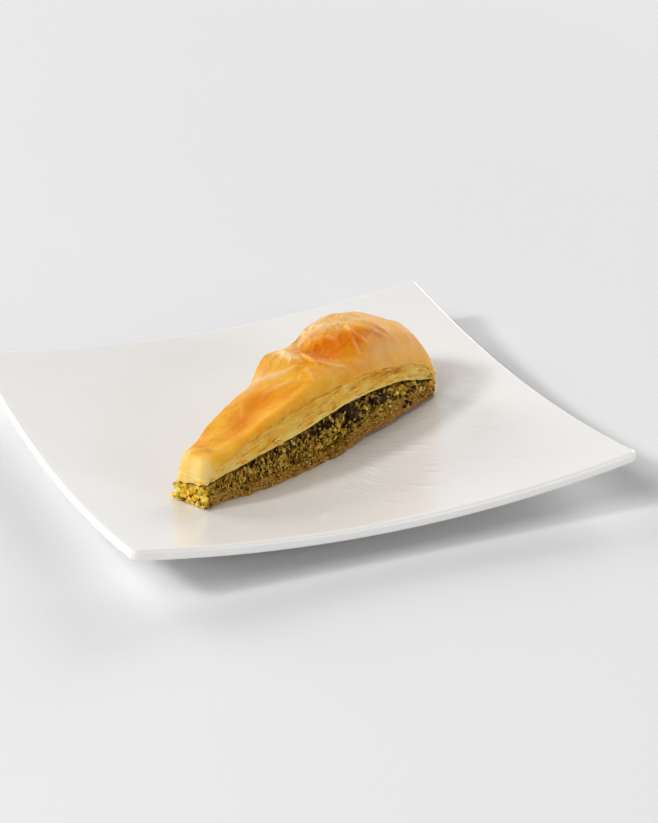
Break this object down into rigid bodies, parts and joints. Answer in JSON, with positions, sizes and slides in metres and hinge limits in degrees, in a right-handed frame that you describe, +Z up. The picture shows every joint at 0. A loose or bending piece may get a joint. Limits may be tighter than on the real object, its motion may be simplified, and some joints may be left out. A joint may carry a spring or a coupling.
{
  "type": "carrot slice baklava on a square plate",
  "caption": "Long wedge of layered pistachio baklava with a puffed glazed crust, lying on a square dished plate with a round foot ring.",
  "frame": {"origin": "on the table under the middle of the plate, at the middle of the foot ring", "axes": "+Z up; X and Y along the plate's sides, the slice's tip towards -X and -Y"},
  "size_m": [0.2222, 0.2222, 0.0526],
  "materials": {
    "plate_glaze": "warm white glazed stoneware, softly glossy",
    "soaked_pastry": "syrup-soaked brown pastry, moist",
    "pistachio": "crushed pistachio, moist and rough",
    "crust": "golden baked pastry with a syrup glaze, pale layers at the cut"
  },
  "bodies": {
    "root": {"plate": "plate_glaze", "base_layers": "soaked_pastry", "nut_filling": "pistachio", "top_layers": "crust"}
  },
  "joints": []
}
